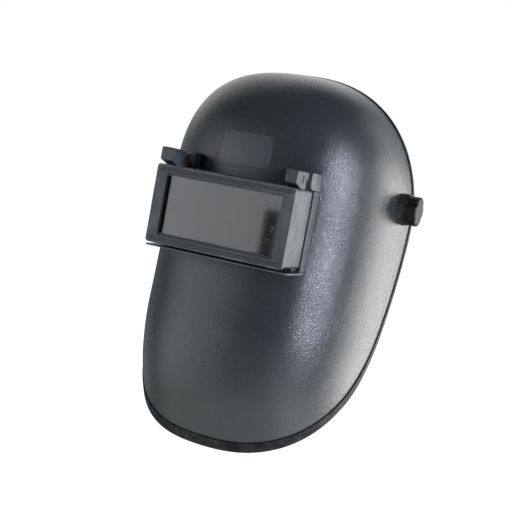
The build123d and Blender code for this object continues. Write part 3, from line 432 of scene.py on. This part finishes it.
def cushion(name, stations, length, half_high, thick, seams, slot):
    """Quilted cushion: a puffed cloth face over a flat back, sewn shut along its edge and at cross seams.

    stations hold (point on the back, outward direction in the band's plane, distance along).
    """
    ring_size, rings, edge_top, edge_low, sewn = CUSHION_RING, [], [], [], []
    end = half_high * 0.55
    for station, (place, outward, along) in enumerate(stations):
        taper = min(1.0, along / end, (length - along) / end)
        corner = math.sqrt(max(0.0, 1 - (1 - taper) ** 2.4))
        high = half_high * (0.62 + 0.38 * corner)
        seam = max([crease(along - s, 0.0016) for s in seams], default=0.0)
        near = min([abs(along - s) for s in seams] + [along, length - along])
        puff = (0.35 + 0.65 * min(1.0, near / 0.007) ** 0.6) * (0.25 + 0.75 * corner) * (1 - 0.55 * seam)
        ring = []
        for j in range(ring_size):
            a = 2 * math.pi * j / ring_size
            c, d = math.cos(a), math.sin(a)
            rise = high * math.copysign(abs(c) ** 0.75, c)
            ripple = math.sin(along * 2300 + 3.1 * math.sin(a * 3))
            pucker = 0.00022 * ripple * crease(abs(rise) - high, 0.003)
            pucker += 0.00016 * math.sin(rise * 1500 + along * 310) * crease(near, 0.004)
            if d >= 0:
                inward = thick * puff * d ** 0.72 + pucker * d
            else:
                inward = -0.0003 * abs(d)
            flat = place - outward * inward
            ring.append(on_band(flat.x, flat.y, rise))
        rings.append(ring)
        held = station in (0, len(stations) - 1) or min([abs(along - s) for s in seams]) < SEAM_HOLD
        sewn += [station * ring_size + j for j in range(ring_size) if held or not 0 < j < ring_size // 2]
        rim = place - outward * 0.0004
        edge_top.append(on_band(rim.x, rim.y, high))
        edge_low.append(on_band(rim.x, rim.y, -high))
    made = tube(name, rings, slot)
    settle(made, sewn, CUSHION_PRESSURE)
    made.modifiers.new("smoother", "SUBSURF").levels = 1
    made.modifiers["smoother"].render_levels = 1
    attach(made, "headgear")
    cord(name + "_piping", edge_top + edge_low[::-1], PIPING_R, slot)
    return made


def cord(name, path, radius, slot, around=10):
    """Sewn edge cord along a closed path, with the twist of its binding."""
    rings, count = [], len(path)
    for i, p in enumerate(path):
        along = (path[(i + 1) % count] - path[i - 1]).normalized()
        side = along.cross(UPWARDS if abs(along.dot(UPWARDS)) < 0.9 else BACKWARDS).normalized()
        top = side.cross(along)
        size = radius * (1 + 0.10 * math.sin(i * 1.9))
        rings.append([
            p + (side * math.cos(2 * math.pi * j / around) + top * math.sin(2 * math.pi * j / around)) * size
            for j in range(around)
        ])
    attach(tube(name, rings, slot, closed=True), "headgear")


def stitches(name, spots, slot):
    """Short raised stitches; each spot is (middle, direction, outward)."""
    points, faces = [], []
    for middle, along, out in spots:
        side = along.cross(out).normalized()
        base = len(points)
        for step in range(7):
            t = (step - 3) / 3
            size = 0.00022 * math.sqrt(max(0.02, 1 - t * t * 0.95))
            lift = 0.00012 * (1 - t * t)
            for k in range(6):
                a = 2 * math.pi * k / 6
                raised = out * (lift + size * math.sin(a)) + side * size * math.cos(a)
                points.append(middle + along * (0.0011 * t) + raised)
        for step in range(6):
            for k in range(6):
                l = (k + 1) % 6
                ring = base + step * 6
                faces.append((ring + k, ring + l, ring + 6 + l, ring + 6 + k))
        faces.append(tuple(base + k for k in range(6)))
        faces.append(tuple(base + 36 + k for k in reversed(range(6))))
    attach(mesh_object(name, points, faces, slot), "headgear")


def mirrored(stations, length):
    """Stations of the whole front arc, from the right end to the left end, from those of the left half."""
    right = [(Vector((-p.x, p.y)), Vector((-n.x, n.y)), length - run) for p, n, run in reversed(stations[1:])]
    return right + [(p, n, length + run) for p, n, run in stations], 2 * length


BACK_INSET, FRONT_END = 0.0019, 0.93
half_front, half_length = even_stations(0.0, FRONT_END, 90, BACK_INSET)
brow_stations, brow_length = mirrored(half_front, half_length)
brow_seams = [brow_length * k / 8 for k in range(1, 8)]
brow = cushion("brow_cushion", brow_stations, brow_length, BROW_HALF_H, BROW_T, brow_seams, "sweatband")
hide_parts("sweatband")
brow_spots = []
for k in brow_seams:
    place, outward, _ = min(brow_stations, key=lambda s: abs(s[2] - k))
    face = place - outward * 0.0021
    inwards = Vector((-outward.x, 0, 0)) - BACKWARDS * outward.y
    for step in range(-4, 5):
        brow_spots.append((on_band(face.x, face.y, step * STITCH_PITCH), UPWARDS, inwards))
stitches("brow_stitches", brow_spots, "band")

nape_v = SIDE_END + REAR_R - 0.0048
nape_stations = [
    (Vector((-NAPE_LENGTH / 2 + NAPE_LENGTH * i / 80, nape_v)), Vector((0.0, 1.0)), NAPE_LENGTH * i / 80)
    for i in range(81)
]
nape_seams = [NAPE_LENGTH * k / 3 for k in (1, 2)]
nape = cushion("nape_cushion", nape_stations, NAPE_LENGTH, NAPE_HALF_H, NAPE_T, nape_seams, "pad")
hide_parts("nape_pad")
nape_spots = [
    (on_band(k - NAPE_LENGTH / 2, nape_v - 0.0026, step * STITCH_PITCH), UPWARDS, -BACKWARDS)
    for k in nape_seams for step in range(-3, 4)
]
stitches("nape_stitches", nape_spots, "band")


# ---------------------------------------------------------------- flexible head band
def strip_section(half_high, thick):
    """Rounded section of the band with a rolled lip along both edges: (rise, inset) points."""
    section = []
    for sign in (1, -1):
        order = range(7) if sign > 0 else range(6, -1, -1)
        for step in order:
            a = math.pi * step / 6
            rise = half_high - thick / 2 + math.sin(a) * thick / 2
            section.append((sign * rise, thick / 2 - math.cos(a) * thick / 2))
    return section


def strip(name, stations, side):
    rings = []
    for place, outward, half_high, step_out in stations:
        ring = []
        for rise, inset in strip_section(half_high, 0.0016):
            flat = place + outward * (step_out - inset)
            ring.append(on_band(side * flat.x, flat.y, rise))
        rings.append(ring if side > 0 else ring[::-1])
    return tube(name, rings, "band")


def ease(value):
    value = min(1.0, max(0.0, value))
    return value * value * (3 - 2 * value)


BAND_HALF_H, TAIL_HALF_H, SPLIT = 0.0120, 0.0093, 1.36
front_left, _ = even_stations(0.0, SPLIT, 90, 0.0)
front = [(Vector((-p.x, p.y)), Vector((-n.x, n.y)), BAND_HALF_H, 0.0) for p, n, _ in reversed(front_left[1:])]
front += [(p, n, BAND_HALF_H, 0.0) for p, n, _ in front_left]
front_band = strip("front_band", front, 1)
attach(front_band, "headgear")
for body, side, step_out in (("tail_left", 1, 0.0), ("tail_right", -1, 0.0017)):
    rear, _ = even_stations(SPLIT, 3 + 0.0125 / FLAT_U, 120, 0.0)
    shaped = []
    for place, outward, _ in rear:
        narrow = ease((0.074 - place.x) / 0.016) if place.y > SIDE_END else 0.0
        shaped.append((place, outward, BAND_HALF_H + (TAIL_HALF_H - BAND_HALF_H) * narrow, step_out * narrow))
    tail = strip(body + "_band", shaped, side)
    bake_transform(tail)
    if side > 0:
        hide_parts("headband")

# ---------------------------------------------------------------- stage
bpy.ops.mesh.primitive_plane_add(size=8.0, location=(0.0, 0.0, CAD_BOX[0].z - 0.0005))
floor = bpy.context.object
floor.name = "floor"
g = Graph("pale_floor")
g.set(
    Base_Color=g.mix(g.noise(3.0, 3.0), (0.86, 0.86, 0.86), (0.9, 0.9, 0.9)), Roughness=0.9,
    Emission_Color=(1.0, 1.0, 1.0), Emission_Strength=0.8,
)
# only the camera sees the floor, so the panels below it light the chin like a bounce card
unseen = g.node("ShaderNodeBsdfTransparent").outputs[0]
seen = g.node("ShaderNodeLightPath").outputs["Is Camera Ray"]
both = g.node("ShaderNodeMixShader", {0: seen, 1: unseen, 2: g.shader.outputs[0]}).outputs[0]
g.tree.links.new(both, g.tree.nodes["Material Output"].inputs["Surface"])
floor.data.materials.append(g.material)


class StudioLight:
    """World light made of broad soft panels; each panel is given by where it stands."""

    def __init__(self, ambient):
        self.world = bpy.data.worlds.new("studio")
        bpy.context.scene.world = self.world
        self.world.use_nodes = True
        self.tree = self.world.node_tree
        coords = self.tree.nodes.new("ShaderNodeTexCoord")
        self.direction = coords.outputs["Generated"]
        self.total = self.colour(ambient)

    def colour(self, rgb):
        made = self.tree.nodes.new("ShaderNodeRGB")
        made.outputs[0].default_value = (*rgb, 1.0)
        return made.outputs[0]

    def link(self, kind, inputs, **settings):
        made = self.tree.nodes.new(kind)
        for key, value in settings.items():
            setattr(made, key, value)
        for key, value in inputs.items():
            if isinstance(value, bpy.types.NodeSocket):
                self.tree.links.new(value, made.inputs[key])
            else:
                made.inputs[key].default_value = value
        return made.outputs

    def mask(self, azimuth, elevation, half_wide, half_high, soft):
        """1 inside a rectangle at an azimuth and elevation, in degrees, fading over soft degrees."""
        a, e = math.radians(azimuth), math.radians(elevation)
        out = Vector((math.sin(a) * math.cos(e), -math.cos(a) * math.cos(e), math.sin(e)))
        side = Vector((math.cos(a), math.sin(a), 0.0))
        top = out.cross(side)
        masks = []
        for axis, half in ((side, half_wide), (top, half_high)):
            sine, depth = (
                self.link("ShaderNodeVectorMath", {
                    0: self.direction, 1: tuple(v),
                }, operation="DOT_PRODUCT")["Value"] for v in (axis, out)
            )
            angle = self.link("ShaderNodeMath", {0: sine, 1: depth}, operation="ARCTAN2")["Value"]
            size = self.link("ShaderNodeMath", {0: angle}, operation="ABSOLUTE")["Value"]
            masks.append(self.link("ShaderNodeMapRange", {
                "Value": size, "From Min": math.radians(half + soft), "From Max": math.radians(half - soft),
            }, interpolation_type="SMOOTHSTEP")["Result"])
        return self.link("ShaderNodeMath", {0: masks[0], 1: masks[1]}, operation="MULTIPLY")["Value"]

    def panel(self, azimuth, elevation, half_wide, half_high, soft, rgb):
        """Adds a glowing panel."""
        mask = self.mask(azimuth, elevation, half_wide, half_high, soft)
        lit = self.link("ShaderNodeVectorMath", {0: self.colour(rgb), 3: mask}, operation="SCALE")["Vector"]
        self.total = self.link("ShaderNodeVectorMath", {0: self.total, 1: lit}, operation="ADD")["Vector"]

    def card(self, azimuth, elevation, half_wide, half_high, soft, keep):
        """Holds a dark card in front of the panels added so far; keep is the share of light left."""
        mask = self.mask(azimuth, elevation, half_wide, half_high, soft)
        left = self.link("ShaderNodeMapRange", {"Value": mask, "To Min": 1.0, "To Max": keep})["Result"]
        self.total = self.link("ShaderNodeVectorMath", {0: self.total, 3: left}, operation="SCALE")["Vector"]

    def finish(self, seen):
        """Lights the scene with the panels and shows a plain backdrop of one brightness to the camera."""
        lit = self.tree.nodes["Background"]
        self.tree.links.new(self.total, lit.inputs["Color"])
        plain = self.tree.nodes.new("ShaderNodeBackground")
        plain.inputs["Color"].default_value = (seen, seen, seen, 1.0)
        path = self.tree.nodes.new("ShaderNodeLightPath")
        both = self.link("ShaderNodeMixShader", {
            0: path.outputs["Is Camera Ray"], 1: lit.outputs[0], 2: plain.outputs[0],
        })
        self.tree.links.new(both[0], self.tree.nodes["World Output"].inputs["Surface"])


studio = StudioLight((0.13, 0.14, 0.145))
studio.panel(138.5, -3.0, 15.5, 18.0, 4.5, (6.4, 6.2, 6.05))
studio.panel(146.0, 26.0, 10.0, 10.0, 8.0, (1.6, 1.6, 1.6))
studio.panel(128.0, -20.0, 14.0, 8.0, 8.0, (4.0, 3.9, 3.7))
studio.panel(175.0, 10.0, 26.0, 28.0, 12.0, (0.35, 0.35, 0.35))
studio.panel(-135.0, 33.0, 30.0, 24.0, 12.0, (0.92, 0.9, 0.9))
studio.panel(-122.0, -16.0, 12.0, 8.0, 8.0, (0.25, 0.25, 0.25))
studio.panel(78.5, 6.6, 3.8, 8.5, 3.5, (56.0, 58.5, 71.0))
studio.panel(80.0, 22.0, 6.0, 12.0, 8.0, (4.0, 4.4, 5.4))
studio.panel(63.0, -14.0, 8.0, 16.0, 8.0, (1.2, 1.3, 1.55))
studio.panel(-48.0, -2.0, 35.0, 22.0, 10.0, (1.08, 1.1, 1.17))
studio.panel(-44.0, -5.0, 12.0, 20.0, 10.0, (1.2, 1.22, 1.3))
studio.panel(0.0, -60.0, 70.0, 30.0, 12.0, (0.88, 0.88, 0.87))
studio.panel(100.0, -38.0, 22.0, 14.0, 10.0, (2.0, 2.0, 2.0))
studio.card(-22.5, -3.0, 0.45, 1.6, 0.25, 0.1)
studio.finish(1.0)
bpy.context.scene.view_settings.view_transform = "Standard"

# ---------------------------------------------------------------- camera
AZIMUTH, ELEVATION, ROLL = math.radians(23.0), math.radians(4.184), math.radians(10.542)
DISTANCE, SHIFT_RIGHT, SHIFT_UP = 0.760, 0.028779, -0.031143
FOCAL_RATIO = 997.7 / 512.0
glass_low, glass_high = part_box("cover_glass")
aim = Vector((0.0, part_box("lift_frame")[0].y, (glass_low.z + glass_high.z) / 2))
back = Vector((
    math.sin(AZIMUTH) * math.cos(ELEVATION), -math.cos(AZIMUTH) * math.cos(ELEVATION), math.sin(ELEVATION),
))
level = Vector((math.cos(AZIMUTH), math.sin(AZIMUTH), 0.0))
upright = back.cross(level)
right = math.cos(ROLL) * level + math.sin(ROLL) * upright
up = -math.sin(ROLL) * level + math.cos(ROLL) * upright
eye = aim + SHIFT_RIGHT * right + SHIFT_UP * up + DISTANCE * back
lens = bpy.data.cameras.new("camera")
lens.sensor_width = 36.0
lens.lens = lens.sensor_width * FOCAL_RATIO
lens.clip_start, lens.clip_end = 0.01, 50.0
camera = bpy.data.objects.new("camera", lens)
bpy.context.scene.collection.objects.link(camera)
camera.matrix_world = Matrix((
    (right.x, up.x, back.x, eye.x),
    (right.y, up.y, back.y, eye.y),
    (right.z, up.z, back.z, eye.z),
    (0.0, 0.0, 0.0, 1.0),
))
bpy.context.scene.camera = camera
